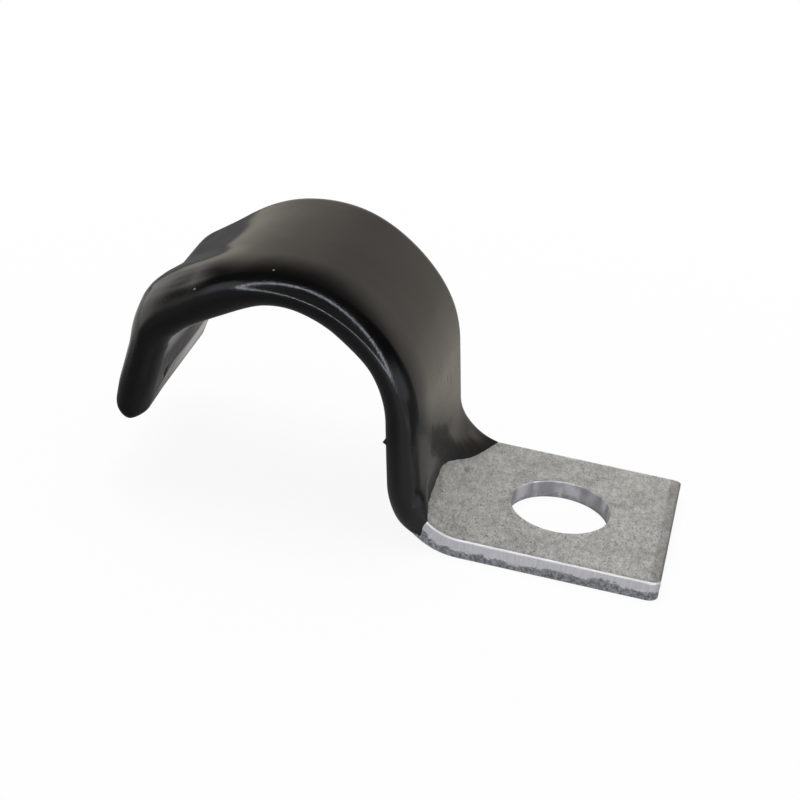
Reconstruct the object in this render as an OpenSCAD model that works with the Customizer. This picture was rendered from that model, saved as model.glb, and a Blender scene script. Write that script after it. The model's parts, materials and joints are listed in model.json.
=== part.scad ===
// Half pipe clamp: a folded steel strap with one bolt hole, dipped in vinyl up to the bend of its tab.
// The origin is the middle of the bolt hole on the tab's underside. The tab runs along +X,
// the strap's width lies along Y, and +Z points away from the surface that the tab is bolted to.

/* [Strap] */
// Width of the flat steel strip
strap_w = 25.4; // [20:0.1:50]
// Thickness of the flat steel strip
strap_t = 2.3; // [1.2:0.1:4]

/* [Tab] */
// Diameter of the punched bolt hole
hole_d = 12; // [5:0.5:14]
// From the middle of the hole to the free end of the tab
hole_to_end = 13.5; // [9:0.5:30]
// From the middle of the hole to the start of the bend
hole_to_bend = 10; // [8:0.5:30]
// Radius of the rounded corners at the free end of the tab
corner_r = 0.6; // [0.2:0.1:3]
// Radius inside the bend between the tab and the riser
bend_inner_r = 6.4; // [3:0.2:10]

/* [Arch] */
// Outside diameter of the pipe that the arch holds
pipe_d = 26.7; // [20:0.1:60]
// How much lower the seat's axis lies than the pipe's radius, so that bolting down pinches the pipe
pinch = 0.5; // [0:0.1:2]
// Lean of the riser towards the arch
riser_lean = 8.5; // [0:0.5:15]
// Turn of the round seat
arch_turn = 120; // [110:1:135]

/* [Free leg] */
// Flat stretch between the round seat and the shoulder
flat_len = 5.4; // [2:0.2:10]
// Radius inside the shoulder bend
shoulder_inner_r = 3.6; // [2:0.2:10]
// Turn of the shoulder bend
shoulder_turn = 41.5; // [25:0.5:60]
// Straight end of the strap below the shoulder
leg_len = 9.5; // [5:0.5:15]

/* [Vinyl coating] */
// Thickness of the vinyl on the faces of the strap
coat_t = 0.95; // [0.4:0.05:1.5]
// Turn of the bend that stays bare, measured at the middle of the strap
bare_turn = 32; // [20:1:60]
// Slant of the dip line across the strap
dip_slant = 13; // [-20:1:20]
// Gap between the coating and the surface under the tab
base_gap = 0.3; // [0.1:0.1:1]

/* [Drip on the shoulder] */
// Height of the drip above the coating
drip_h = 1.5; // [0.4:0.1:3]
// Width of the drip, inwards from one edge of the strap
drip_w = 18; // [8:0.5:20]
// Length of the drip along the strap
drip_len = 10; // [5:0.5:10]

/* [Hidden] */
$fn = 96;

// Radii of the three bends at the middle of the strap's thickness
bend_r = bend_inner_r + strap_t / 2;
arch_r = pipe_d / 2 + coat_t + strap_t / 2;
shoulder_r = shoulder_inner_r + strap_t / 2;

// Lengths along the strap that follow from the hole, the pipe and the bends
tab_len = hole_to_end + hole_to_bend;
bend_turn = 90 - riser_lean;
seat_axis_z = pipe_d / 2 - pinch;
riser_rise = seat_axis_z - strap_t / 2 - bend_r * (1 - cos(bend_turn)) + arch_r * sin(riser_lean);
riser_len = riser_rise / cos(riser_lean);

// Half of the coated thickness, which is also the radius of the coated edges
coat_half = strap_t / 2 + coat_t;
// Vinyl over the edges of the strap, so that its sharp corners keep half of the coat
edge_coat = coat_half - sqrt(pow(coat_half - coat_t / 2, 2) - pow(strap_t / 2, 2));
// From the middle of the strap to the middle of the coated edges' round
edge_mid = strap_w / 2 + edge_coat - coat_half;

// Stretches of the strap from the tab's free end on: [name, straight length, bend radius, turn to the left]
RUN = [
    ["tab", tab_len, 0, 0],
    ["bend", 0, bend_r, -bend_turn],
    ["riser", riser_len, 0, 0],
    ["arch", 0, arch_r, arch_turn],
    ["flat", flat_len, 0, 0],
    ["shoulder", 0, shoulder_r, shoulder_turn],
    ["leg", leg_len, 0, 0],
];
function number_of(name) = search([name], RUN)[0];
BEND = number_of("bend");
SHOULDER = number_of("shoulder");
LEG = number_of("leg");

// The drip's round along the strap passes through its crest, and it sinks into the coating at both ends
drip_sag = drip_h + coat_half;
drip_r = (pow(drip_len / 2, 2) + pow(drip_sag, 2)) / (2 * drip_sag);
drip_drop = drip_h + coat_t / 2;
drip_crown_r = (pow(drip_w / 2, 2) + pow(drip_drop, 2)) / (2 * drip_drop);
drip_mid = edge_mid + coat_half / 2 - drip_w / 2;

// Stretches are joined at this scale and then enlarged again, so that rounding leaves no hairline seams
weld_scale = 0.01;
// Longer than the whole clamp, for the cuts
reach = tab_len + 4 * arch_r + leg_len + strap_w;

// The strip starts at the tab's free end and heads along +Y here, with the pipe's side on its left
module at_tab_end() {
    translate([hole_to_end, 0, strap_t / 2]) rotate([90, 0, 0]) rotate([0, 0, 90]) children();
}

// Moves past the first part of a stretch: along its length, or round its bend
module past(stretch, share = 1) {
    turn = stretch[3];
    radius = stretch[2] * sign(turn);
    translate([-radius, share * stretch[1], 0])
        rotate([0, 0, share * turn])
        translate([radius, 0, 0]) children();
}

// Moves to the start of the stretch with this number
module at_stretch(number) {
    if (number == 0) at_tab_end() children();
    else at_stretch(number - 1) past(RUN[number - 1]) children();
}

// Cross-section of the strap, or of the coated strap with its round edges
module section(coated) {
    if (coated) {
        square([2 * coat_half, 2 * edge_mid], center = true);
        for (side = [-1, 1]) translate([0, side * edge_mid]) circle(coat_half);
    } else {
        square([strap_t, strap_w], center = true);
    }
}

module straight(length, coated) {
    rotate([-90, 0, 0]) linear_extrude(length) section(coated);
}

module bend(radius, turn, coated) {
    translate([-radius * sign(turn), 0, 0])
        rotate([0, 0, turn > 0 ? 0 : 180 + turn])
        rotate_extrude(angle = abs(turn)) translate([radius, 0]) section(coated);
}

module stretch_solid(number, coated) {
    stretch = RUN[number];
    at_stretch(number) {
        if (stretch[3] == 0) straight(stretch[1], coated);
        else bend(stretch[2], stretch[3], coated);
    }
}

module bare_strap() {
    scale(1 / weld_scale) for (number = [0 : LEG]) scale(weld_scale) stretch_solid(number, false);
}

// What the rounded corners take off the tab's free end
module tab_corner_waste() {
    for (side = [-1, 1]) {
        translate([hole_to_end, side * strap_w / 2, 0]) difference() {
            cube([2 * corner_r, 2 * corner_r, 3 * strap_t], center = true);
            translate([-corner_r, -side * corner_r, 0]) cylinder(r = corner_r, h = 3 * strap_t, center = true);
        }
    }
}

// The coated leg reaches past the strap's end and its tip is fully round
module coated_leg() {
    round_start = leg_len + edge_coat - coat_half;
    at_stretch(LEG) {
        straight(round_start, true);
        translate([0, round_start, 0]) cylinder(r = coat_half, h = 2 * edge_mid, center = true);
        for (side = [-1, 1]) translate([0, round_start, side * edge_mid]) sphere(coat_half);
    }
}

// Thick vinyl on the outside of the shoulder: a barrel that rises from the middle of the strap
module drip() {
    at_stretch(SHOULDER) past(RUN[SHOULDER], 0.5) intersection() {
        translate([coat_half + drip_h - drip_r, 0, drip_mid]) rotate_extrude() intersection() {
            translate([drip_r - drip_crown_r, 0]) circle(drip_crown_r);
            translate([0, -drip_w / 2]) square([drip_r, drip_w]);
        }
        translate([0, -reach / 2, -reach / 2]) cube(reach);
    }
}

// Everything on the tab's side of the dip line
module undipped() {
    at_stretch(BEND) past(RUN[BEND], bare_turn / bend_turn)
        rotate([-dip_slant, 0, 0])
        translate([-reach / 2, -reach, -reach / 2]) cube(reach);
}

// Everything lower than the coating may hang
module under_base() {
    translate([-reach, -reach / 2, base_gap - reach]) cube([2 * reach, reach, reach]);
}

module steel_strap() {
    color("darkgray") difference() {
        bare_strap();
        cylinder(d = hole_d, h = 4 * strap_t, center = true);
        tab_corner_waste();
    }
}

module vinyl_coating() {
    color("black") difference() {
        scale(1 / weld_scale) {
            for (number = [BEND : LEG - 1]) scale(weld_scale) stretch_solid(number, true);
            scale(weld_scale) coated_leg();
            scale(weld_scale) drip();
        }
        bare_strap();
        undipped();
        under_base();
    }
}

steel_strap();
vinyl_coating();
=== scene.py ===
import json
import math

import bmesh
import bpy
import numpy as np
from mathutils import Matrix, Vector, noise


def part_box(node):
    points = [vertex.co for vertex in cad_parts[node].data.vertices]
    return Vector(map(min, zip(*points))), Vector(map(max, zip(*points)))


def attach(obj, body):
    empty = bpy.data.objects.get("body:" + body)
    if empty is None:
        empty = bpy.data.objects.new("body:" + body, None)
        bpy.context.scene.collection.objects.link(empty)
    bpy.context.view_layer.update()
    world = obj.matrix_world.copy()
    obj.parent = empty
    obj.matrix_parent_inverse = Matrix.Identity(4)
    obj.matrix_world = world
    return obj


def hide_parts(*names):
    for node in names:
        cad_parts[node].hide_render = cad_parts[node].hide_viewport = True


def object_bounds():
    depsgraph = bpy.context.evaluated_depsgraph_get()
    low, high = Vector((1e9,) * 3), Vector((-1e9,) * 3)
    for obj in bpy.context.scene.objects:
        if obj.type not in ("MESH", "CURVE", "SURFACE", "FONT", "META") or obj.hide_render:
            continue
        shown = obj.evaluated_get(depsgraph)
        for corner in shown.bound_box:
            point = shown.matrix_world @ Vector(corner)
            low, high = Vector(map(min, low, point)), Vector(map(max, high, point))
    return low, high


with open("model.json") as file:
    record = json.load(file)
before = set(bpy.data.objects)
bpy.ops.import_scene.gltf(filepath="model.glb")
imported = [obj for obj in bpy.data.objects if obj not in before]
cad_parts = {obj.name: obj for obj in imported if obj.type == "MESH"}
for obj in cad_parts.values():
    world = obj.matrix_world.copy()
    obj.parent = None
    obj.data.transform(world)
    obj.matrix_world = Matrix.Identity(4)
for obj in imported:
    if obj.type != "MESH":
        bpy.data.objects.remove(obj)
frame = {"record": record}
cad_low, cad_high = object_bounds()

# Sizes of the clamp in millimetres. Those that the mounts and solids state are read from the frame.
MM = 0.001
MOUNTS = {mount["name"]: mount for mount in frame["record"]["mounts"]}
HOLE_R = MOUNTS["bolt_hole"]["dims"]["r_mm"]
STRAP_T = MOUNTS["bolt_hole"]["dims"]["length_mm"]
SEAT_R = MOUNTS["pipe_seat"]["dims"]["r_mm"]
SEAT_AXIS_Z = MOUNTS["pipe_seat"]["pos_m"][2] / MM
TAB_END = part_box("steel_strap")[1].x / MM
HALF_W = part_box("steel_strap")[1].y / MM
HALF_T = STRAP_T / 2

HOLE_TO_BEND = 10.0
BEND_INNER_R = 6.4
RISER_LEAN = 8.5
ARCH_TURN = 120.0
FLAT_LEN = 5.4
SHOULDER_INNER_R = 3.6
SHOULDER_TURN = 41.5
LEG_LEN = 9.5
COAT_T = 0.95
EDGE_COAT = 0.952
BASE_GAP = 0.3

# Sheared and punched walls: a rolled edge, a burnished band and a torn band
ROLL_W, ROLL_H = 0.26, 0.20
HOLE_ROLL_W = 0.12
END_ROLL_W, END_ROLL_H = 1.35, 0.22
CORNER_FRONT_R, CORNER_BACK_R = 1.3, 0.4
BURNISH_DEPTH = 1.25
TEAR_FLARE = 0.10
TEAR_ROUGH = 0.06
TEAR_FINE, TEAR_COARSE = 0.45, 1.1

# Vinyl at the dip line: the lip it starts with, how far it takes to grow full, the line's waver and fray
LIP = 0.05
FEATHER_FACE, FEATHER_FRONT, FEATHER_BACK = 4.0, 3.0, 6.0
FEATHER_BULGE = 1.7
WAVER_H, WAVER_SIZE = 0.15, 1.7
FRAY_H, FRAY_SIZE = 0.08, 0.6

# Vinyl at the leg's tip: its thickness past the strap, its rounds, and how much thinner the end gets
TIP_COAT = 0.45
TIP_OUTER_R, TIP_INNER_R, TIP_SIDE_R = 1.7, 0.7, 1.3
TIP_TAPER = 0.35
TAPER_FROM, TAPER_TO = 88.5, 93.3

# Vinyl elsewhere: length of its round edges' noses, slow waves and small ripples of its surface
BACK_NOSE, RISER_NOSE, ARCH_NOSE, LEG_NOSE = 2.1, 2.4, 2.6, 3.6
WAVE_H, WAVE_SIZE = 0.025, 6.5
RIPPLE_H, RIPPLE_SIZE = 0.004, 2.2

# The strap inside the vinyl: how much shorter it is than the solid's, and how far the hollow sinks into it
STEEL_SHORT = 1.6
BED_SINK = 0.03

# Camera, found by fitting the strap's edges to the photograph
CAMERA_AZIMUTH, CAMERA_ELEVATION, CAMERA_ROLL = 8.829, 27.694, 7.996
CAMERA_DISTANCE = 243.418
CAMERA_TARGET = (-21.139, 0.0, 11.874)
SENSOR_MM = 36.0
FOCAL_PIXELS, IMAGE_PIXELS = 2039.2, 800


# The strap's bent middle line

def arc(radius, turn):
    return radius * math.radians(abs(turn)), turn


def riser_length():
    """Puts the seat's axis where the frame has it"""
    lean = math.radians(RISER_LEAN)
    bend_rise = (BEND_INNER_R + HALF_T) * (1 - math.sin(lean))
    arch_r = SEAT_R + COAT_T + HALF_T
    return (SEAT_AXIS_Z - HALF_T - bend_rise + arch_r * math.sin(lean)) / math.cos(lean)


STRETCHES = [
    (TAB_END + HOLE_TO_BEND, 0.0),
    arc(BEND_INNER_R + HALF_T, RISER_LEAN - 90),
    (riser_length(), 0.0),
    arc(SEAT_R + COAT_T + HALF_T, ARCH_TURN),
    (FLAT_LEN, 0.0),
    arc(SHOULDER_INNER_R + HALF_T, SHOULDER_TURN),
    (LEG_LEN, 0.0),
]
STRAP_LEN = sum(length for length, turn in STRETCHES)
TIP = STRAP_LEN + TIP_COAT
STEEL_END = STRAP_LEN - STEEL_SHORT


def stretch_starts():
    """Where each stretch starts along the strap, its x, z and heading there, and its curvature"""
    along, x, z, heading = 0.0, TAB_END, HALF_T, math.pi
    starts = []
    for length, turn in STRETCHES:
        curvature = math.radians(turn) / length
        starts.append((along, x, z, heading, curvature))
        step_x, step_z = stretch_step(length, heading, curvature)
        along, x, z = along + length, x + step_x, z + step_z
        heading += math.radians(turn)
    return starts


def stretch_step(length, heading, curvature):
    if not curvature:
        return length * math.cos(heading), length * math.sin(heading)
    turned = heading + curvature * length
    across = np.sin(turned) - math.sin(heading), math.cos(heading) - np.cos(turned)
    return across[0] / curvature, across[1] / curvature


STARTS = stretch_starts()


def placed(along, across, out):
    """Points in metres, from distances along the strap, across it and outwards from its middle"""
    along, across, out = np.broadcast_arrays(along, across, out)
    x, z, heading = (np.zeros(along.shape) for _ in range(3))
    for start, x0, z0, heading0, curvature in STARTS:
        here = along >= start if start else np.full(along.shape, True)
        length = along[here] - start
        step_x, step_z = stretch_step(length, heading0, curvature)
        x[here], z[here] = x0 + step_x, z0 + step_z
        heading[here] = heading0 + curvature * length
    return np.stack([x + out * np.sin(heading), across, z - out * np.cos(heading)], axis=-1) * MM


def lumps(points, size, shift=0.0):
    """Smooth noise from about -1 to 1 at points in millimetres, with lumps of this size"""
    moved = points.reshape(-1, 3) / size + shift
    return np.array([noise.noise(Vector(p)) for p in moved]).reshape(points.shape[:-1])


def smooth(low, high, value):
    share = np.clip((value - low) / (high - low), 0, 1)
    return share * share * (3 - 2 * share)


class Skin:
    """Points, faces and marks of one piece, gathered grid by grid"""

    def __init__(self, marks):
        self.points = []
        self.faces = []
        self.marks = {mark: [] for mark in marks}

    def add(self, points, **marks):
        """Adds points in metres and their marks, and gives their numbers in the same grid"""
        first = sum(len(part) for part in self.points)
        self.points.append(points.reshape(-1, 3))
        for mark, values in marks.items():
            width = 3 if mark == "laid_flat" else 1
            self.marks[mark].append(values.reshape(-1, width))
        return np.arange(first, first + points[..., 0].size).reshape(points.shape[:-1])

    def cover(self, grid, skip=None):
        corners = grid[:-1, :-1], grid[:-1, 1:], grid[1:, 1:], grid[1:, :-1]
        quads = np.stack(corners, axis=-1)
        quads = quads.reshape(-1, 4) if skip is None else quads[~skip]
        self.faces.extend(quads.tolist())

    def piece(self, name, material, node):
        """Makes the object that stands for a node of the frame"""
        mesh = bpy.data.meshes.new(name)
        mesh.from_pydata(np.concatenate(self.points).tolist(), [], self.faces)
        for mark, parts in self.marks.items():
            values = np.concatenate(parts)
            kind, field = ("FLOAT_VECTOR", "vector") if values.shape[1] == 3 else ("FLOAT", "value")
            layer = mesh.attributes.new(mark, kind, "POINT")
            layer.data.foreach_set(field, values.ravel().astype(np.float32))
        tidy = bmesh.new()
        tidy.from_mesh(mesh)
        loose = [point for point in tidy.verts if not point.link_faces]
        bmesh.ops.delete(tidy, geom=loose, context="VERTS")
        bmesh.ops.recalc_face_normals(tidy, faces=tidy.faces)
        tidy.to_mesh(mesh)
        tidy.free()
        mesh.shade_smooth()
        mesh.materials.append(material)
        made = bpy.data.objects.new(name, mesh)
        bpy.context.scene.collection.objects.link(made)
        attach(made, "root")
        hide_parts(node)


def ring(columns):
    """Closes a grid of loops by repeating its first column"""
    return np.concatenate([columns, columns[:, :1]], axis=1)


def end_sides(loop, face_n):
    """Top, right, bottom and left side of the four-sided end that a loop bounds, corners included"""
    edge_n = len(loop) // 2 - face_n
    top = loop[:face_n]
    bottom = loop[face_n + edge_n:2 * face_n + edge_n][::-1]
    right = np.concatenate([top[-1:], loop[face_n:face_n + edge_n], bottom[-1:]])
    left = np.concatenate([top[:1], loop[2 * face_n + edge_n:][::-1], bottom[:1]])
    return top, right, bottom, left


def end_patch(loop, face_n):
    """Values inside the end that a loop bounds, blended from its four sides"""
    top, right, bottom, left = end_sides(loop, face_n)
    u = np.linspace(0, 1, len(top))[None, :, None]
    v = np.linspace(0, 1, len(left))[:, None, None]
    ruled = (1 - v) * top[None] + v * bottom[None] + (1 - u) * left[:, None] + u * right[:, None]
    corners = (1 - v) * ((1 - u) * top[0] + u * top[-1]) + v * ((1 - u) * bottom[0] + u * bottom[-1])
    return (ruled - corners)[1:-1, 1:-1]


def end_grid(loop_numbers, inner_numbers, face_n):
    """Numbers of all points of an end, from its bounding loop and the points inside it"""
    top, right, bottom, left = end_sides(loop_numbers, face_n)
    middle = np.concatenate([left[1:-1, None], inner_numbers, right[1:-1, None]], axis=1)
    return np.concatenate([top[None], middle, bottom[None]])


# The bent steel strap

ROLL_ROWS, BURNISH_ROWS, TORN_ROWS = 7, 5, 13


def cut_rows(roll_w):
    """Inset and depth of the rows down a sheared wall, from the upper face to the lower one"""
    rolled = np.linspace(0, math.pi / 2, ROLL_ROWS)
    burnished = np.linspace(ROLL_H, BURNISH_DEPTH, BURNISH_ROWS)[1:]
    torn = np.linspace(BURNISH_DEPTH, STRAP_T, TORN_ROWS)[1:]
    inset = [roll_w * (1 - np.sin(rolled)), 0 * burnished, -TEAR_FLARE * np.linspace(0, 1, TORN_ROWS)[1:]]
    depth = [ROLL_H * (1 - np.cos(rolled)), burnished, torn]
    return np.concatenate(inset), np.concatenate(depth)


def torn_ground(along, depth, side):
    """How far the torn band's rough ground lies behind its mean face"""
    spot = np.stack(np.broadcast_arrays(along, depth * 1.4, side * 7.0), axis=-1)
    rough = 0.7 * lumps(spot, TEAR_FINE) + 0.5 * lumps(spot, TEAR_COARSE, 31.0)
    return TEAR_ROUGH * rough * smooth(BURNISH_DEPTH - 0.1, BURNISH_DEPTH + 0.25, depth)


def corner_half_w(along, radius):
    """Half of the strap's width, which the rounded corners narrow at its free end"""
    return HALF_W - radius + np.sqrt(radius ** 2 - np.clip(radius - along, 0, None) ** 2)


def strap_loops(along, share):
    """Across, out, depth and cut mark of the strap's section at each distance along it"""
    back_w, front_w = (corner_half_w(along, radius)[:, None] for radius in (CORNER_BACK_R, CORNER_FRONT_R))
    from_roll = np.clip(1 - along / END_ROLL_W, 0, None)
    drop = END_ROLL_H * (1 - np.sqrt(1 - from_roll ** 2))
    inset, depth = cut_rows(ROLL_W)
    count, rows = len(along), slice(1, -1)
    wall_depth = np.tile(depth[rows], (count, 1))
    walls = []
    for side, half_w in ((1, back_w), (-1, front_w)):
        behind = inset[rows] + torn_ground(along[:, None], wall_depth, side)
        walls.append(side * (half_w - behind))
    half_w = np.where(share[None] > 0, back_w, front_w)
    upper = share[None] * (half_w - ROLL_W)
    lower = (share[None] * (half_w + TEAR_FLARE))[:, ::-1]
    across = np.concatenate([upper, walls[0], lower, walls[1][:, ::-1]], axis=1)
    under = np.full(upper.shape, STRAP_T)
    deep = np.concatenate([0 * upper, wall_depth, under, wall_depth[:, ::-1]], axis=1)
    cut = np.concatenate([0 * upper, 0 * wall_depth + 1, 0 * upper, 0 * wall_depth + 1], axis=1)
    out = HALF_T - deep - drop[:, None] * (1 - deep / STRAP_T)
    return across, out, deep, cut


HOLE_BLOCK = 8.0
BLOCK_CELLS = 56
SIDE_CELLS = 8
END_STEPS, TAB_STEPS, BEND_STEPS, HIDDEN_STEPS = 9, 17, 38, 72
BARE_END = 32.0


def strap_stations():
    """Distances along the strap, closest at its free end, round the hole and on the bare bend"""
    rolled_end = END_ROLL_W * (1 - np.cos(np.linspace(0, math.pi / 2, END_STEPS)))
    block_start, block_end = TAB_END - HOLE_BLOCK, TAB_END + HOLE_BLOCK
    parts = [
        rolled_end,
        np.linspace(END_ROLL_W, block_start, TAB_STEPS)[1:],
        np.linspace(block_start, block_end, BLOCK_CELLS + 1)[1:],
        np.linspace(block_end, BARE_END, BEND_STEPS)[1:],
        np.linspace(BARE_END, STEEL_END, HIDDEN_STEPS)[1:],
    ]
    first_block = len(parts[0]) + len(parts[1]) - 1
    return np.concatenate(parts), first_block


def square_rim(grid, first, last, first_column, last_column):
    """Values round the square block of a grid, as one loop"""
    return np.concatenate([
        grid[first, first_column:last_column],
        grid[first:last, last_column],
        grid[last, last_column:first_column:-1],
        grid[last:first:-1, first_column],
    ])


def punched_hole(skin, upper_rim, lower_rim, upper_at, lower_at):
    """Fills the square block round the hole on both faces, and the hole's wall between them"""
    inset, depth = cut_rows(HOLE_ROLL_W)
    angle = np.arctan2(upper_at[:, 1], upper_at[:, 0] - TAB_END)
    towards = np.stack([np.cos(angle), np.sin(angle)], axis=-1)
    wall_depth = np.tile(depth[:, None], (1, len(angle)))
    rough = torn_ground(angle[None] * HOLE_R, wall_depth, 3) * (wall_depth < STRAP_T)
    radius = HOLE_R + np.abs(inset)[:, None] + rough
    wall = np.array([TAB_END, 0.0]) + radius[..., None] * towards[None]
    shares = np.array([0.3, 0.6, 0.85])[:, None, None]
    upper = upper_at[None] + shares * (wall[0] - upper_at)[None]
    lower = wall[-1][None] + (1 - shares[::-1]) * (lower_at - wall[-1])[None]
    flat = np.concatenate([upper, wall, lower])
    deep = np.concatenate([0 * upper[..., 0], wall_depth, 0 * lower[..., 0] + STRAP_T])
    cut = np.concatenate([0 * upper[..., 0], (wall_depth > 0) * (wall_depth < STRAP_T), 0 * lower[..., 0]])
    laid_flat = np.concatenate([flat, deep[..., None]], axis=-1)
    numbers = skin.add(placed(flat[..., 0], flat[..., 1], HALF_T - deep), laid_flat=laid_flat, cut=cut * 1.0)
    skin.cover(ring(np.concatenate([upper_rim[None], numbers, lower_rim[None]])))


def strap_end(skin, flat, out, numbers, face_n, roughness):
    """Closes an end of the strap from the loop that bounds it"""
    inner = end_patch(flat, face_n)
    edge_out = end_patch(out[:, None], face_n)[..., 0]
    fade = 1 - (np.abs(inner[..., 1]) / HALF_W) ** 12
    sunk = roughness * fade * torn_ground(inner[..., 1], inner[..., 2], 5)
    points = placed(inner[..., 0] + sunk, inner[..., 1], edge_out)
    inner_numbers = skin.add(points, laid_flat=inner, cut=np.ones(inner.shape[:2]))
    skin.cover(end_grid(numbers, inner_numbers, face_n))


def bent_steel_strap(material):
    side = np.linspace(HOLE_BLOCK / (HALF_W - ROLL_W), 1, SIDE_CELLS + 1)[1:]
    middle = np.linspace(-1, 1, BLOCK_CELLS + 1) * HOLE_BLOCK / (HALF_W - ROLL_W)
    share = np.concatenate([-side[::-1], middle, side])
    face_n = len(share)
    along, first = strap_stations()
    last = first + BLOCK_CELLS
    across, out, deep, cut = strap_loops(along, share)
    stations = np.broadcast_to(along[:, None], across.shape)
    laid_flat = np.stack([stations, across, deep], axis=-1)
    skin = Skin(["laid_flat", "cut"])
    numbers = skin.add(placed(stations, across, out), laid_flat=laid_flat, cut=cut)

    edge_n = numbers.shape[1] // 2 - face_n
    lower_first = face_n + edge_n
    hole_cells = np.zeros((len(along) - 1, numbers.shape[1]), bool)
    for start in (SIDE_CELLS, lower_first + SIDE_CELLS):
        hole_cells[first:last, start:start + BLOCK_CELLS] = True
    skin.cover(ring(numbers), hole_cells)

    rims = []
    for face in (slice(0, face_n), slice(lower_first, lower_first + face_n)):
        step = 1 if face.start == 0 else -1
        block = (first, last, SIDE_CELLS, SIDE_CELLS + BLOCK_CELLS)
        rim = square_rim(numbers[:, face][:, ::step], *block)
        at = square_rim(laid_flat[:, face][:, ::step], *block)[:, :2]
        rims.append((rim, at))
    (upper_rim, upper_at), (lower_rim, lower_at) = rims
    punched_hole(skin, upper_rim, lower_rim, upper_at, lower_at)

    for station, roughness in ((0, 1), (-1, 0)):
        strap_end(skin, laid_flat[station], out[station], numbers[station], face_n, roughness)
    skin.piece("bent_steel_strap", material, "steel_strap")


# The dipped vinyl coat

COAT_FACE_N = 84
EVEN_START = 36.0
RING_STEP = 0.3
DIP_STEPS, TIP_STEPS, BED_STEPS = 44, 16, 60
DIP_CROWDING = 1.35

# Places along the strap: a plain section of it, and what the vinyl's surface follows
PLAIN_AT = 50.0
THIN_ARCH_AT, THICK_SEAT_AT, THIN_SEAT_AT, SEAT_END_AT = 53.5, 54.2, 63.8, 72.0
THIN_BY_DRIP_AT, SHOULDER_AT, FAT_EDGE_AT = 75.0, 81.3, 88.4

# Places along and across the strap: a dent in the leg's inner face, and a nib on the riser
DENT_AT, NIB_AT = (88.7, -6.9), (39.7, -12.3)

# Dip line across the strap's upper face and underside: distance along the strap at places across it
DIP_UPPER = [(-12.7, 28.7), (-9.0, 29.7), (-4.0, 29.95), (0.2, 29.85), (1.8, 29.3), (3.2, 28.5), (6.0, 26.6),
             (12.7, 23.4)]
DIP_UNDER = [(-12.7, 27.9), (0.0, 27.0), (12.7, 25.8)]


def through(points, value):
    """A smooth curve through a few points"""
    xs, ys = (np.array(column) for column in zip(*points))
    slopes = np.gradient(ys, xs)
    cell = np.clip(np.searchsorted(xs, value) - 1, 0, len(xs) - 2)
    width = xs[cell + 1] - xs[cell]
    t = np.clip((value - xs[cell]) / width, 0, 1)
    rise = ys[cell] * (1 + 2 * t) * (1 - t) ** 2 + ys[cell + 1] * t * t * (3 - 2 * t)
    return rise + width * (slopes[cell] * t * (1 - t) ** 2 - slopes[cell + 1] * t * t * (1 - t))


def dip_stations(across, deep):
    """Where the vinyl starts along the strap, round its section"""
    share = smooth(0, STRAP_T, deep)
    line = (1 - share) * through(DIP_UPPER, across) + share * through(DIP_UNDER, across)
    spot = np.stack([across, deep * 2, 0 * across], axis=-1)
    return line + WAVER_H * lumps(spot, WAVER_SIZE, 5.0) + FRAY_H * lumps(spot, FRAY_SIZE, 11.0)


def coat_loops(outer, inner, half_w, front_nose, share, edge_n):
    """Across, out and outward direction of the coat's section, with flat faces and round edges"""
    half = (outer - inner)[:, None] / 2
    middle = (outer + inner)[:, None] / 2
    turn = np.linspace(0, math.pi, edge_n + 2)[None, 1:-1]
    edges = []
    for nose in (np.full(len(outer), BACK_NOSE)[:, None], front_nose[:, None]):
        flat = half_w[:, None] - nose
        to_side, to_out = half * np.sin(turn), nose * np.cos(turn)
        length = np.hypot(to_side, to_out)
        edges.append((flat, flat + nose * np.sin(turn), to_side / length, to_out / length))
    (back_flat, back, back_side, back_out), (front_flat, front, front_side, front_out) = edges
    upper = share[None] * np.where(share[None] > 0, back_flat, front_flat)
    across = np.concatenate([upper, back, upper[:, ::-1], -front[:, ::-1]], axis=1)
    rise = middle + half * np.cos(turn)
    ones = np.ones(upper.shape)
    out = np.concatenate([outer[:, None] * ones, rise, inner[:, None] * ones, rise[:, ::-1]], axis=1)
    to_side = np.concatenate([0 * ones, back_side, 0 * ones, -front_side[:, ::-1]], axis=1)
    to_out = np.concatenate([ones, back_out, -ones, front_out[:, ::-1]], axis=1)
    return across, out, to_side, to_out


def bell(distance, reach):
    """Falls smoothly from 1 to 0 at this reach"""
    return np.cos(0.5 * math.pi * np.clip(np.abs(distance) / reach, 0, 1)) ** 2


def mound(along, across, at, reach, height):
    """A small round rise at a place on the strap, with its reach along and across"""
    return height * bell(along - at[0], reach[0]) * bell(across - at[1], reach[1])


def drip_height(along, across):
    """The dried drip on the shoulder, with a long slope to the strap's front edge and up the arch"""
    crest_along, crest_across, crest = 80.2, -6.5, 1.4
    up_reach, down_reach, front_reach = 12.0, 4.2, 8.0
    back_reach, least_back_reach, narrowing = 11.5, 4.5, 0.72
    up_the_arch = np.clip(crest_along - along, 0, None)
    narrowed = np.clip(back_reach - narrowing * up_the_arch, least_back_reach, None)
    to_back = bell(across - crest_across, narrowed)
    to_front = bell(across - crest_across, front_reach)
    run = bell(along - crest_along, np.where(along < crest_along, up_reach, down_reach))
    drip = crest * run * np.where(across > crest_across, to_back, to_front)
    wrinkles = np.stack([along / 4.0, across / 1.1, 0 * along], axis=-1)
    return drip * (1 + 0.035 * lumps(wrinkles, 1.0))


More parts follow.
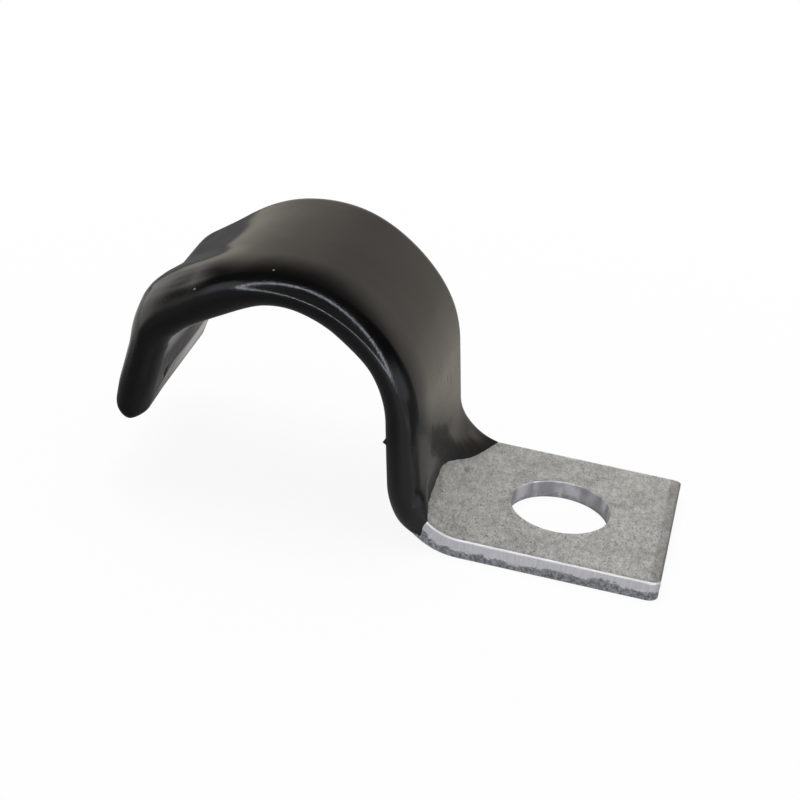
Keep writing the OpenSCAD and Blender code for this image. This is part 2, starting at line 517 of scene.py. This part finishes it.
def outer_relief(along, across):
    """Outside: the drip, two stretches where the vinyl is thin, and the fall to the front edge"""
    thin = (0.20 + 0.12 * smooth(-12.5, -4.0, across)) * bell(along - THIN_ARCH_AT, 9.0)
    thin = thin + 0.22 * bell(along - THIN_BY_DRIP_AT, 8.0) * smooth(0.0, 8.0, across)
    front = np.clip(-6.0 - across, 0, None) / 5.0
    fall = 0.28 * front ** 2 * smooth(31.0, 37.0, along) * smooth(80.0, 73.0, along)
    return drip_height(along, across) - thin - fall


def inner_relief(along, across):
    """Inside: an uneven seat, pooled vinyl, the leg's crown and fat edge, a dent and a nib"""
    seat = 0.26 * bell(along - THICK_SEAT_AT, 5.2) - 0.31 * bell(along - THIN_SEAT_AT, 5.8)
    pooled = 0.35 * bell(along - SHOULDER_AT, 4.5) + 0.38 * bell(along - SEAT_END_AT, 5.8)
    crown = 0.35 * bell(across - 4.0, 17.0) * smooth(76.0, 81.0, along) * smooth(92.5, 88.0, along)
    past_edge = along - (FAT_EDGE_AT + 0.55 * np.clip(-4.0 - across, 0, None))
    fat_edge = 0.02 * bell(past_edge, 0.9) - 0.045 * np.clip(past_edge, 0, None)
    front_tip = 0.18 * smooth(-9.5, -12.5, across) * smooth(88.0, 92.0, along)
    dent = mound(along, across, DENT_AT, (1.1, 0.6), 0.18)
    nib = mound(along, across, NIB_AT, (0.45, 0.45), 0.5)
    return pooled + crown + seat + fat_edge - front_tip - dent + nib


def face_relief(along, across, raised):
    """How far both faces lie out from their plain form. Raised goes from 1 outside to -1 inside."""
    outside, inside = np.clip(raised, 0, 1), np.clip(-raised, 0, 1)
    return outside * outer_relief(along, across) - inside * inner_relief(along, across)


def waves(points):
    """Height of the vinyl's slightly uneven surface"""
    spot = points / MM
    return WAVE_H * lumps(spot, WAVE_SIZE) + RIPPLE_H * lumps(spot, RIPPLE_SIZE, 9.0)


def coat_stations(dip):
    """Distances along the strap of every point of the coat's outside, from the dip line to the tip"""
    to_even = np.linspace(0, 1, DIP_STEPS)[:, None] ** DIP_CROWDING
    start = dip[None] + to_even * (EVEN_START - dip[None])
    straight_end = TIP - TIP_OUTER_R
    even_n = int((straight_end - EVEN_START) / RING_STEP)
    even = np.linspace(EVEN_START, straight_end, even_n)[1:]
    tip = straight_end + TIP_OUTER_R * np.sin(np.linspace(0, math.pi / 2, TIP_STEPS))[1:]
    rest = np.concatenate([even, tip])[:, None]
    return np.concatenate([start, np.broadcast_to(rest, (len(rest), len(dip)))])


def rounded(along, radius):
    """How far a round of this radius at the tip has drawn in"""
    reach = np.clip((along - (TIP - radius)) / radius, 0, 1)
    return radius * (1 - np.sqrt(1 - reach ** 2))


def coat_profile(even):
    """Outer and inner face, half width and front nose of the coat's section along the strap"""
    half = HALF_T + COAT_T
    outer = half - rounded(even, TIP_OUTER_R) - TIP_TAPER * smooth(TAPER_FROM, TAPER_TO, even)
    inner = -half + rounded(even, TIP_INNER_R)
    half_w = HALF_W + EDGE_COAT - rounded(even, TIP_SIDE_R)
    onto_arch, onto_leg = smooth(40.0, 50.0, even), smooth(72.0, 83.0, even)
    nose = RISER_NOSE + (ARCH_NOSE - RISER_NOSE) * onto_arch + (LEG_NOSE - ARCH_NOSE) * onto_leg
    return outer, inner, half_w, nose


def coat_fullness(from_dip, strap_across):
    """Share of the coat's thickness, which grows from a thin lip at the dip line"""
    at_edge = smooth(9.5, 12.5, np.abs(strap_across))
    edge_feather = np.where(strap_across < 0, FEATHER_FRONT, FEATHER_BACK)
    feather = FEATHER_FACE + (edge_feather - FEATHER_FACE) * at_edge
    full = 1 - (1 - np.clip(from_dip / feather[None], 0, 1)) ** FEATHER_BULGE
    thin = LIP / COAT_T
    return thin + (1 - thin) * full


def coat_outside(dip, strap_across, strap_out, share):
    """The coat's outside, laid flat, and its distance from the dip line"""
    along = coat_stations(dip)
    outer, inner, half_w, nose = coat_profile(along.max(axis=1))
    edge_n = len(strap_across) // 2 - COAT_FACE_N
    across, out, to_side, to_out = coat_loops(outer, inner, half_w, nose, share, edge_n)
    middle, half_height = (outer + inner)[:, None] / 2, (outer - inner)[:, None] / 2
    out = out + face_relief(along, across, (out - middle) / half_height)
    uneven = waves(placed(along, across, out))
    across = across + uneven * to_side
    out = out + uneven * to_out
    from_dip = along - dip[None]
    grown = coat_fullness(from_dip, strap_across)
    across = strap_across + grown * (across - strap_across)
    out = strap_out + grown * (out - strap_out)
    return np.stack([along, across, out], axis=-1), from_dip


def coat_bed(dip, strap_across, strap_out):
    """The coat's hollow, laid flat and sunk a little into the strap, and its distance from the dip line"""
    sunk = 1 - BED_SINK / HALF_T
    along = dip[None] + np.linspace(0, 1, BED_STEPS)[:, None] * (STEEL_END - dip[None])
    flat = np.stack(np.broadcast_arrays(along, strap_across * sunk, strap_out * sunk), axis=-1)
    return flat, along - dip[None]


def bent(flat):
    """Points in metres of places on the strap laid flat"""
    return placed(*np.moveaxis(flat, -1, 0))


def coat_end(skin, flat, numbers):
    """Closes an end of the coat from the loop that bounds it"""
    inner = end_patch(flat, COAT_FACE_N)
    inner_numbers = skin.add(bent(inner), laid_flat=inner, from_dip=np.full(inner.shape[:2], TIP))
    skin.cover(end_grid(numbers, inner_numbers, COAT_FACE_N))


def dipped_vinyl_coat(material):
    share = np.linspace(-1, 1, COAT_FACE_N)
    section = strap_loops(np.array([PLAIN_AT]), share)
    strap_across, strap_out, strap_deep = (values[0] for values in section[:3])
    dip = dip_stations(strap_across, strap_deep)
    skin = Skin(["laid_flat", "from_dip"])

    flat, from_dip = coat_outside(dip, strap_across, strap_out, share)
    points = bent(flat)
    points[..., 2] = np.maximum(points[..., 2], BASE_GAP * MM * np.clip(from_dip, 0, 1))
    numbers = skin.add(points, laid_flat=flat, from_dip=from_dip)
    skin.cover(ring(numbers))
    coat_end(skin, flat[-1], numbers[-1])

    bed_flat, bed_from_dip = coat_bed(dip, strap_across, strap_out)
    bed_numbers = skin.add(bent(bed_flat), laid_flat=bed_flat, from_dip=bed_from_dip)
    skin.cover(ring(bed_numbers))
    coat_end(skin, bed_flat[-1], bed_numbers[-1])
    skin.cover(ring(np.stack([numbers[0], bed_numbers[0]])))
    skin.piece("dipped_vinyl_coat", material, "vinyl_coating")


# Finishes

class Wire:
    """One value in a finish. Arithmetic on it adds Math nodes."""

    def __init__(self, finish, socket):
        self.finish, self.socket = finish, socket

    def maths(self, operation, *values):
        return self.finish.node("ShaderNodeMath", {"operation": operation}, dict(enumerate(values)))

    def __add__(self, other):
        return self.maths("ADD", self, other)

    def __sub__(self, other):
        return self.maths("SUBTRACT", self, other)

    def __rsub__(self, other):
        return self.maths("SUBTRACT", other, self)

    def __mul__(self, other):
        return self.maths("MULTIPLY", self, other)

    def __abs__(self):
        return self.maths("ABSOLUTE", self)

    def largest(self, other):
        return self.maths("MAXIMUM", self, other)

    __radd__ = __add__
    __rmul__ = __mul__


class Finish:
    """A material or world, built from nodes"""

    def __init__(self, owner, output):
        owner.use_nodes = True
        self.owner, self.tree = owner, owner.node_tree
        self.tree.nodes.clear()
        self.output = self.tree.nodes.new(output)

    def node(self, kind, settings=None, sockets=None, result=0):
        """Adds a node: first its settings, then the values or links of its sockets"""
        made = self.tree.nodes.new(kind)
        for name, value in (settings or {}).items():
            setattr(made, name, value)
        for name, value in (sockets or {}).items():
            if isinstance(value, Wire):
                self.tree.links.new(value.socket, made.inputs[name])
            else:
                made.inputs[name].default_value = value
        return Wire(self, made.outputs[result])

    def surface(self, shader):
        self.tree.links.new(shader.socket, self.output.inputs["Surface"])
        return self.owner

    def mark(self, name, result):
        return self.node("ShaderNodeAttribute", {"attribute_name": name}, result=result)

    def vector(self, operation, *values, result=0):
        return self.node("ShaderNodeVectorMath", {"operation": operation}, dict(enumerate(values)), result)

    def stretched(self, place, scale):
        return self.vector("MULTIPLY", place, scale)

    def distance(self, first, second):
        return self.vector("DISTANCE", first, second, result=1)

    def parts(self, place):
        return [self.node("ShaderNodeSeparateXYZ", None, {0: place}, result=axis) for axis in range(3)]

    def noise(self, place, scale, detail=2.0, roughness=0.5):
        sockets = {"Vector": place, "Scale": scale, "Detail": detail, "Roughness": roughness}
        return self.node("ShaderNodeTexNoise", None, sockets)

    def step(self, value, low, high):
        """Rises smoothly from 0 at low to 1 at high"""
        sockets = {"Value": value, "From Min": low, "From Max": high}
        return self.node("ShaderNodeMapRange", {"interpolation_type": "SMOOTHSTEP"}, sockets)

    def mix(self, share, first, second):
        sockets = {0: share, 6: first, 7: second}
        return self.node("ShaderNodeMix", {"data_type": "RGBA"}, sockets, result=2)

    def shade(self, tint, amount):
        """A colour made darker or lighter by a value"""
        return self.node("ShaderNodeVectorMath", {"operation": "SCALE"}, {0: tint, "Scale": amount})

    def bump(self, height):
        """A normal from heights in millimetres"""
        return self.node("ShaderNodeBump", None, {"Strength": 1.0, "Distance": MM, "Height": height})


def colour(red, green, blue):
    return (red, green, blue, 1.0)


def new_finish(name):
    return Finish(bpy.data.materials.new(name), "ShaderNodeOutputMaterial")


def zinc_pits(f, flat, mottle):
    """Small pits where the plating is worn"""
    across = f.parts(flat)[1]
    cells = f.node("ShaderNodeTexVoronoi", None, {"Vector": mottle, "Scale": 3.0, "Randomness": 1.0})
    worn = f.step(f.noise(flat, 0.18, 2.0) + f.step(across, 6.0, -10.0) * 0.22, 0.46, 0.64)
    return f.step(cells, 0.36, 0.14) * f.step(f.noise(flat, 1.3, 1.0), 0.45, 0.58) * worn


def zinc_tone(f, flat, mottled, pits):
    """Tone of the faces, darker in pits and in a smear, with painted shade on the rolled free end, under the
    vinyl's lip and beside the rolled edge
    """
    along, across, _ = f.parts(flat)
    # Painted shade: darker where the free end rolls down, darkest at its very edge.
    end_roll_shade = f.step(along, 1.5, 1.1) * 0.28 + f.step(along, 0.35, 0.1) * 0.25
    from_smear = f.distance(f.stretched(flat, (1.0, 0.55, 0.0)), (26.1, 1.8, 0.0))
    smear = f.step(f.noise(flat, 0.9, 2.0) * 0.8 + from_smear, 1.1, 0.55)
    past_corner = (across - 1.0).largest(0.0)
    # Painted shadow of the vinyl's thick lip, on the steel just before the dip line.
    lip_shadow = f.step(along + past_corner * 0.53, 27.6, 29.8)
    # Painted shade: a dark line on the face just behind the rolled front edge.
    roll_shadow = f.step(across, -11.9, -12.3)
    tone = mottled * (1 - pits * 0.6) * (1 - end_roll_shade) * (1 - smear * 0.5) * (1 - lip_shadow * 0.2)
    return tone * (0.98 + f.step(along, 22.0, 4.0) * 0.08) * (1 - roll_shadow * 0.14)


def cut_wall(f, flat, in_hole):
    """Colour of the cut walls with painted shade inside the hole, where they are torn, and the torn ground's
    tone
    """
    deep = f.parts(flat)[2]
    shear_lines = f.noise(f.stretched(flat, (3.0, 3.0, 0.3)), 1.0, 3.0)
    blotches = f.step(f.noise(f.stretched(flat, (1.0, 1.0, 0.4)), 0.5, 2.0), 0.36, 0.64)
    # Painted shade: inside the hole the wall is made darker than the outer cut walls, with random blotches.
    sheared = 0.85 + shear_lines * (0.4 - in_hole * 0.3) + in_hole * (blotches * 0.54 - 0.26)
    burnished = f.shade((0.78, 0.77, 0.79), sheared)
    torn_tone = f.step(f.noise(flat, 3.0, 4.0, 0.65), 0.34, 0.68)
    ground = f.mix(torn_tone, colour(0.17, 0.17, 0.178), colour(0.48, 0.48, 0.495))
    ragged = deep + (f.noise(flat, 0.5, 2.0) - 0.5) * 2.2 + (f.noise(flat, 3.0, 2.0) - 0.5)
    torn = f.step(ragged - in_hole * 0.6, BURNISH_DEPTH - 0.12, BURNISH_DEPTH + 0.22)
    torn = torn * (1 - in_hole * 0.45)
    return f.mix(torn, burnished, ground), torn, torn_tone


def zinc_plated_steel():
    """Dull zinc with fine pitting, cut walls that are half burnished and half torn, and a painted highlight
    along the rolled edge
    """
    f = new_finish("zinc_plated_steel")
    flat = f.mark("laid_flat", 1)
    cut = f.mark("cut", 2)
    mottle = f.stretched(flat, (1.0, 0.5, 1.0))
    clouds = f.step(f.noise(flat, 0.25, 3.0), 0.3, 0.7)
    grain = f.step(f.noise(mottle, 1.5, 3.0, 0.6), 0.3, 0.7)
    fine = f.step(f.noise(mottle, 4.5, 2.0), 0.3, 0.7)
    streaks = f.step(f.noise(f.stretched(flat, (0.07, 1.6, 1.0)), 1.0, 3.0), 0.3, 0.7)
    mottled = 0.49 + clouds * 0.24 + grain * 0.40 + fine * 0.34 + streaks * 0.06
    pits = zinc_pits(f, flat, mottle)
    face = f.shade((0.665, 0.66, 0.635), zinc_tone(f, flat, mottled, pits))

    from_hole = f.distance(f.stretched(flat, (1, 1, 0)), (TAB_END, 0, 0))
    in_hole = f.step(from_hole, HOLE_R + 0.8, HOLE_R + 0.5)
    wall, torn, torn_tone = cut_wall(f, flat, in_hole)
    # Painted highlight: the rolled edge gets a near-white colour with little metal, which draws its bright
    # line.
    rolled = f.step(f.parts(flat)[2], ROLL_H, ROLL_H - 0.08) * cut * (1 - in_hole)
    roll_highlight_colour = f.shade((0.97, 0.97, 0.98), 0.85 + clouds * 0.15)
    heights = grain * 0.006 + fine * 0.005 - pits * 0.03 + cut * torn * torn_tone * 0.03
    sockets = {
        "Base Color": f.mix(rolled, f.mix(cut, face, wall), roll_highlight_colour),
        "Metallic": (0.66 + grain * 0.10 + cut * 0.12) * (1 - rolled * 0.7),
        "Roughness": 0.42 + grain * 0.08 + pits * 0.2 + cut * (torn * 0.22 + in_hole * 0.15 - 0.12),
        "Normal": f.bump(heights * (1 - rolled)),
    }
    return f.surface(f.node("ShaderNodeBsdfPrincipled", None, sockets))


# Dust caught in the vinyl: along and across the strap
DUST = [(73.8, -12.0), (65.5, -10.35)]


def dust_specks(f, flat):
    """1 on the specks of dust"""
    specks = 0.0
    for place in DUST:
        gap = f.distance(f.stretched(flat, (1, 1, 0)), (*place, 0))
        specks = f.step(gap, 0.17, 0.08) + specks
    return specks


def riser_smudge(f, flat):
    """1 on the dull smudge below the dip line, which slants as the line does"""
    along, across, out = f.parts(flat)
    ragged = (f.noise(flat, 0.35, 1.0) - 0.5) * 2.0
    down = abs(along + across * 0.525 - 34.1) + ragged
    aside = abs(across + 1.0) + ragged
    return f.step(down, 2.5, 0.9) * f.step(aside, 6.0, 3.8) * f.step(out, 1.6, 2.0)


def riser_scuffs(f, flat):
    """1 on the fine scuffs along the riser"""
    along, across, _ = f.parts(flat)
    scuffs = f.step(f.noise(f.stretched(flat, (0.8, 4.0, 1.0)), 1.0, 3.0), 0.64, 0.70)
    return scuffs * f.step(along, 36.0, 39.0) * f.step(along, 47.0, 43.0) * f.step(across, -4.0, -1.0)


def black_vinyl():
    """Glossy black dip with a slightly clouded surface, duller where it runs out at the dip line"""
    f = new_finish("black_vinyl")
    flat = f.mark("laid_flat", 1)
    along, across, out = f.parts(flat)
    clouds = f.noise(flat, 0.3, 3.0)
    peel = f.noise(flat, 1.2, 2.0)
    beads = f.noise(flat, 4.0, 1.0)
    thin_film = f.step(f.mark("from_dip", 2), 3.5, 0.5)
    on_riser = f.step(along, 50.0, 42.0) * f.step(out, 1.6, 2.0)
    front_edge = f.step(across, -10.5, -12.0)
    base = f.shade((0.0036, 0.0035, 0.0034), 0.6 + clouds * 0.8)
    dull = 0.09 + clouds * 0.08 + thin_film * 0.35 + front_edge * 0.03
    dull = dull + on_riser * 0.10 + riser_smudge(f, flat) * 0.25 + riser_scuffs(f, flat) * 0.35
    sockets = {
        "Base Color": f.mix(dust_specks(f, flat), base, colour(0.24, 0.24, 0.25)),
        "Roughness": dull,
        "Normal": f.bump(peel * 0.003 + beads * front_edge * 0.010),
    }
    return f.surface(f.node("ShaderNodeBsdfPrincipled", None, sockets))


# The studio: floor, world, the room that only reflections show, lights and camera

FLOOR_HALF, FLOOR_MIDDLE_X = 3.0, -0.02
FLOOR_DROP, MIRROR_DROP = 0.00002, 0.00001
ROOM_R = 0.7
GLOW_AIM = (-0.743, 0.0, 0.669)
RISER_PLACE = (-0.0155, -0.004, 0.014)


def seen_rays(f):
    """1 for the rays that show the background: straight to the camera, or by way of metal and glass"""
    rays = [f.node("ShaderNodeLightPath", None, result=name) for name in
            ("Is Camera Ray", "Is Glossy Ray", "Is Transmission Ray")]
    return rays[0].largest(rays[1]).largest(rays[2])


def white_world():
    f = Finish(bpy.context.scene.world or bpy.data.worlds.new("studio"), "ShaderNodeOutputWorld")
    bpy.context.scene.world = f.owner
    ambient = f.node("ShaderNodeBackground", None, {"Color": colour(1, 1, 1), "Strength": 0.45})
    white = f.node("ShaderNodeBackground", None, {"Color": colour(1, 1, 1), "Strength": 1.0})
    f.surface(f.node("ShaderNodeMixShader", None, {0: seen_rays(f), 1: ambient, 2: white}))


def floor_finish():
    f = new_finish("white_floor")
    place = f.node("ShaderNodeTexCoord", None, result="Object")
    away = f.step(f.vector("LENGTH", place, result=1), 0.05, 0.16)
    paper = f.node("ShaderNodeBsdfDiffuse", None, {"Color": colour(0.9, 0.9, 0.9)})
    white = f.node("ShaderNodeEmission", None, {"Color": colour(1, 1, 1), "Strength": 1.0})
    share = seen_rays(f) * (0.92 + away * 0.08)
    return f.surface(f.node("ShaderNodeMixShader", None, {0: share, 1: paper, 2: white}))


def plain_mesh(name, points, faces, material):
    mesh = bpy.data.meshes.new(name)
    mesh.from_pydata(points, [], faces)
    mesh.materials.append(material)
    made = bpy.data.objects.new(name, mesh)
    bpy.context.scene.collection.objects.link(made)
    return made


def only_in_reflections(thing):
    thing.visible_camera = False
    thing.visible_diffuse = False
    thing.visible_transmission = False
    thing.visible_shadow = False


def square(half, height):
    """Corners of a level square"""
    return [(-half, -half, height), (half, -half, height), (half, half, height), (-half, half, height)]


def floor():
    made = plain_mesh("floor", square(FLOOR_HALF, 0), [(0, 1, 2, 3)], floor_finish())
    made.location = (FLOOR_MIDDLE_X, 0.0, cad_low.z - FLOOR_DROP)


def mirrored_wall():
    """Warm paper behind the clamp, daylight from both sides, a glow and a dark room overhead"""
    f = new_finish("mirrored_wall")
    place = f.node("ShaderNodeTexCoord", None, result="Object")
    aim = f.stretched(place, (1 / ROOM_R,) * 3)
    to_right, to_back, height = f.parts(aim)
    paper = f.step(to_back - f.step(height, 0.15, 0.45) * 0.025, 0.715, 0.88)
    right = f.step(to_right, 0.0, 0.2) * f.step(to_back, 0.50, 0.10) * f.step(to_back, -1.0, -0.88)
    right = right * f.step(height, 0.50, 0.28)
    left = f.step(to_right, -0.45, -0.75) * f.step(to_back, -0.25, 0.05)
    left = left * f.step(height + to_right * 0.55, 0.02, -0.16)
    glow = f.step(f.vector("DOT_PRODUCT", aim, GLOW_AIM, result=1), 0.955, 0.995)
    haze = f.mix(f.step(height, 0.35, 0.15), colour(0.006, 0.006, 0.008), colour(0.10, 0.10, 0.11))
    lit_paper = f.shade((0.51, 0.475, 0.42), 1 + f.step(to_right, 0.12, -0.30) * 0.28)
    shown = f.mix(f.step(to_back, 0.05, -0.25), haze, colour(0.19, 0.19, 0.20))
    shown = f.mix(paper, shown, lit_paper)
    shown = f.mix(right, shown, f.shade((0.72, 0.72, 0.80), 1 + f.step(to_back, -0.45, -0.75) * 0.7))
    shown = f.mix(glow, shown, colour(0.75, 0.77, 0.82))
    shown = f.mix(left, shown, colour(0.98, 0.95, 0.90))
    return f.surface(f.node("ShaderNodeEmission", None, {"Color": shown, "Strength": 1.0}))


def mirrored_floor():
    """Dim floor with lit patches round the clamp and under its hole, and one narrow beam"""
    f = new_finish("mirrored_floor")
    place = f.node("ShaderNodeTexCoord", None, result="Object")
    aim = f.vector("NORMALIZE", f.vector("SUBTRACT", place, RISER_PLACE))
    away = f.vector("LENGTH", place, result=1)
    to_right, to_back, _ = f.parts(place)
    behind = f.step(to_right, -0.070, -0.008) * f.step(to_back, 0.012, 0.034)
    behind = behind.largest(f.step(away, 0.28, 0.42)) * f.step(f.parts(aim)[1], 0.715, 0.88)
    in_front = f.step(to_right, -0.045, -0.005) * f.step(to_back, -0.002, -0.016)
    to_left = f.step(to_right, -0.085, -0.115) * f.step(to_back + to_right * 0.9, 0.03, -0.06)
    to_left = to_left * f.step(to_back, -0.045, -0.020)
    by_leg = f.step(to_right, -0.043, -0.051) * f.step(to_back, 0.002, 0.026)
    by_leg = by_leg * f.step(to_back, 0.06, 0.04)
    beam = to_right + to_back * 0.78 - 0.028
    beam = f.step(beam * beam, 0.0003, 0.0) * f.step(to_back, -0.010, -0.020)
    shown = f.mix(behind, colour(0.15, 0.15, 0.155), colour(0.55, 0.52, 0.46))
    shown = f.mix(in_front, shown, colour(0.46, 0.46, 0.48))
    shown = f.mix(to_left, shown, colour(0.55, 0.55, 0.58))
    shown = f.mix(by_leg, shown, colour(0.62, 0.60, 0.57))
    shown = f.mix(beam, shown, colour(0.8, 0.8, 0.88))
    shown = f.mix(f.step(away, 0.0085, 0.0055), shown, colour(0.28, 0.28, 0.28))
    return f.surface(f.node("ShaderNodeEmission", None, {"Color": shown, "Strength": 1.0}))


def mirrored_room():
    """A dome and a floor that only reflections show"""
    rows, columns = 24, 64
    points, faces = [], []
    for row in range(rows + 1):
        elevation = 0.5 * math.pi * row / rows
        level, height = ROOM_R * math.cos(elevation), ROOM_R * math.sin(elevation)
        for column in range(columns):
            azimuth = 2 * math.pi * column / columns
            points.append((level * math.cos(azimuth), level * math.sin(azimuth), height))
    for row in range(rows):
        for column in range(columns):
            after = (column + 1) % columns
            faces.append((row * columns + column, row * columns + after,
                          (row + 1) * columns + after, (row + 1) * columns + column))
    only_in_reflections(plain_mesh("mirrored_wall", points, faces, mirrored_wall()))
    corners = square(ROOM_R, cad_low.z - MIRROR_DROP)
    only_in_reflections(plain_mesh("mirrored_floor", corners, [(0, 1, 2, 3)], mirrored_floor()))


def ring_light():
    """An oval band of light above the camera, which draws the two fine lines on the vinyl's front edge"""
    azimuth, elevation, reach, sides = math.radians(8.0), math.radians(43.0), 0.5, 96
    right_half, left_half, upper_half, lower_half = 54.0, 48.5, 47.0, 22.0
    shift_right, shift_up = -6.0, 6.0
    slant, half_band = math.radians(35.0), 2.1
    level = math.cos(elevation)
    axis = Vector((level * math.sin(azimuth), -level * math.cos(azimuth), math.sin(elevation)))
    right = axis.cross(Vector((0, 0, 1))).normalized()
    up = right.cross(axis)
    middle = Vector((-0.034, -0.012, 0.02))
    points = []
    for edge in (-half_band, half_band):
        for side in range(sides):
            turn = 2 * math.pi * side / sides
            across = ((upper_half if math.sin(turn) > 0 else lower_half) + edge) * math.sin(turn)
            along = ((right_half if math.cos(turn) > 0 else left_half) + edge) * math.cos(turn)
            to_right = shift_right + along * math.cos(slant) - across * math.sin(slant)
            to_up = shift_up + along * math.sin(slant) + across * math.cos(slant)
            spread = math.hypot(to_right, to_up)
            aside = (right * to_right + up * to_up) / spread
            angle = math.radians(spread)
            points.append(middle + reach * (axis * math.cos(angle) + aside * math.sin(angle)))
    band = [(side, (side + 1) % sides, sides + (side + 1) % sides, sides + side) for side in range(sides)]
    glow = new_finish("ring_light")
    sockets = {"Color": colour(0.86, 0.90, 1.0), "Strength": 9.0}
    glow.surface(glow.node("ShaderNodeEmission", None, sockets))
    only_in_reflections(plain_mesh("ring_light", points, band, glow.owner))


def soft_light(name, place, target, size, power):
    data = bpy.data.lights.new(name, "AREA")
    data.shape, data.size, data.energy = "DISK", size, power
    lamp = bpy.data.objects.new(name, data)
    lamp.location = place
    lamp.rotation_euler = (Vector(target) - Vector(place)).to_track_quat("-Z", "Y").to_euler()
    lamp.visible_glossy = False
    bpy.context.scene.collection.objects.link(lamp)


def camera():
    azimuth, elevation, roll = (math.radians(a) for a in (CAMERA_AZIMUTH, CAMERA_ELEVATION, CAMERA_ROLL))
    back = Vector((math.sin(azimuth) * math.cos(elevation), -math.cos(azimuth) * math.cos(elevation),
                   math.sin(elevation)))
    level = (-back).cross(Vector((0, 0, 1))).normalized()
    upright = back.cross(level)
    right = level * math.cos(roll) + upright * math.sin(roll)
    up = upright * math.cos(roll) - level * math.sin(roll)
    data = bpy.data.cameras.new("camera")
    data.sensor_width = SENSOR_MM
    data.lens = FOCAL_PIXELS / IMAGE_PIXELS * SENSOR_MM
    data.clip_start, data.clip_end = 0.01, 20.0
    made = bpy.data.objects.new("camera", data)
    place = (Vector(CAMERA_TARGET) + back * CAMERA_DISTANCE) * MM
    made.matrix_world = Matrix.Translation(place) @ Matrix((right, up, back)).transposed().to_4x4()
    bpy.context.scene.collection.objects.link(made)
    bpy.context.scene.camera = made


bpy.context.scene.view_settings.view_transform = "Standard"
bent_steel_strap(zinc_plated_steel())
dipped_vinyl_coat(black_vinyl())
white_world()
floor()
mirrored_room()
ring_light()
soft_light("overhead", place=(-0.10, 0.10, 0.60), target=(-0.02, 0, 0.01), size=0.5, power=2.4)
camera()
